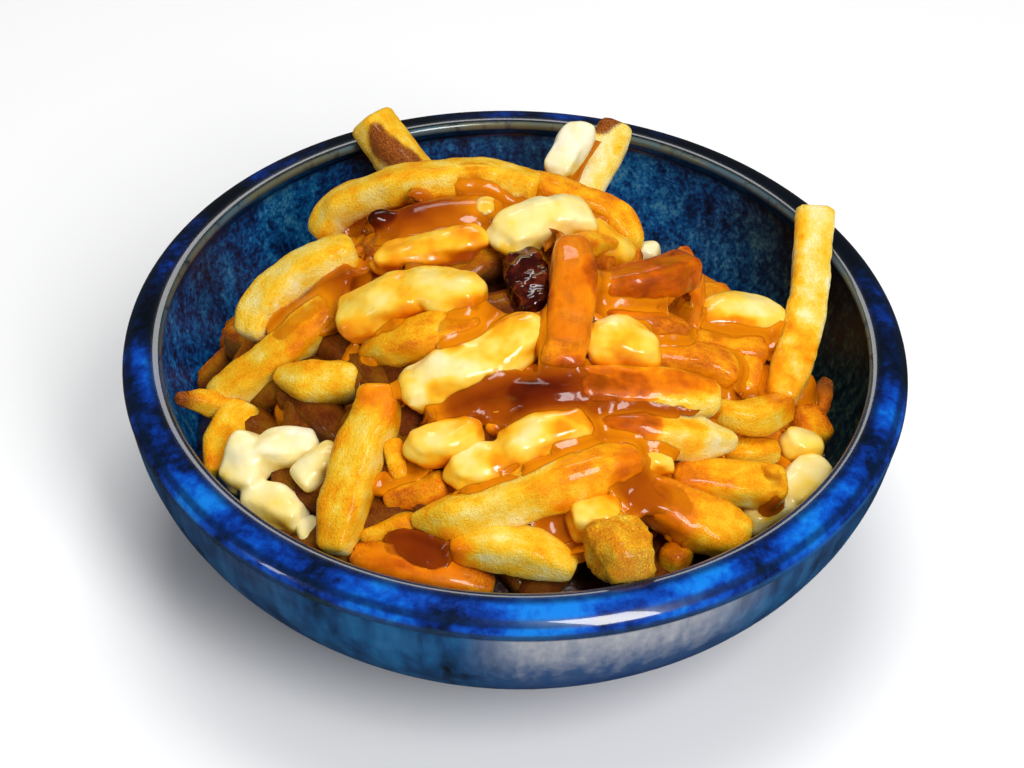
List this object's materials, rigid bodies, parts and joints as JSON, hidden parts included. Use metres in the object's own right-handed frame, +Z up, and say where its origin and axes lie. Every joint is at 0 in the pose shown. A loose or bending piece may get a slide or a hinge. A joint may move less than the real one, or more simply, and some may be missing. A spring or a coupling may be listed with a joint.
{
  "type": "dish of poutine",
  "caption": "Round blue stoneware bowl heaped with fried potato chips, white cheese curds and brown gravy.",
  "frame": {"origin": "on the table, under the centre of the bowl", "axes": "+Z up, -Y towards the diner, +X to the diner's right"},
  "size_m": [0.19, 0.19, 0.0907],
  "materials": {
    "stoneware": "glossy mottled blue glaze",
    "potato": "fried potato, satin where dry and glossy under gravy",
    "curd": "soft cheese curd, satin, partly glazed with gravy",
    "gravy": "dark brown gravy, wet gloss"
  },
  "bodies": {
    "root": {"bowl": "stoneware", "chips": "potato", "curd_top": "curd", "curd_under_tail": "curd", "curd_upper_left": "curd", "curd_big_left": "curd", "curd_block": "curd", "curd_square": "curd", "curd_mid_left": "curd", "curd_long": "curd", "curd_round": "curd", "curd_white_left": "curd", "curd_small_left": "curd", "curd_low": "curd", "curd_far_right": "curd", "curd_small_right": "curd", "curd_white_right": "curd", "curd_back": "curd", "curd_behind": "curd", "curd_crumb": "curd", "curd_deep": "curd", "gravy_clot": "gravy"}
  },
  "joints": []
}
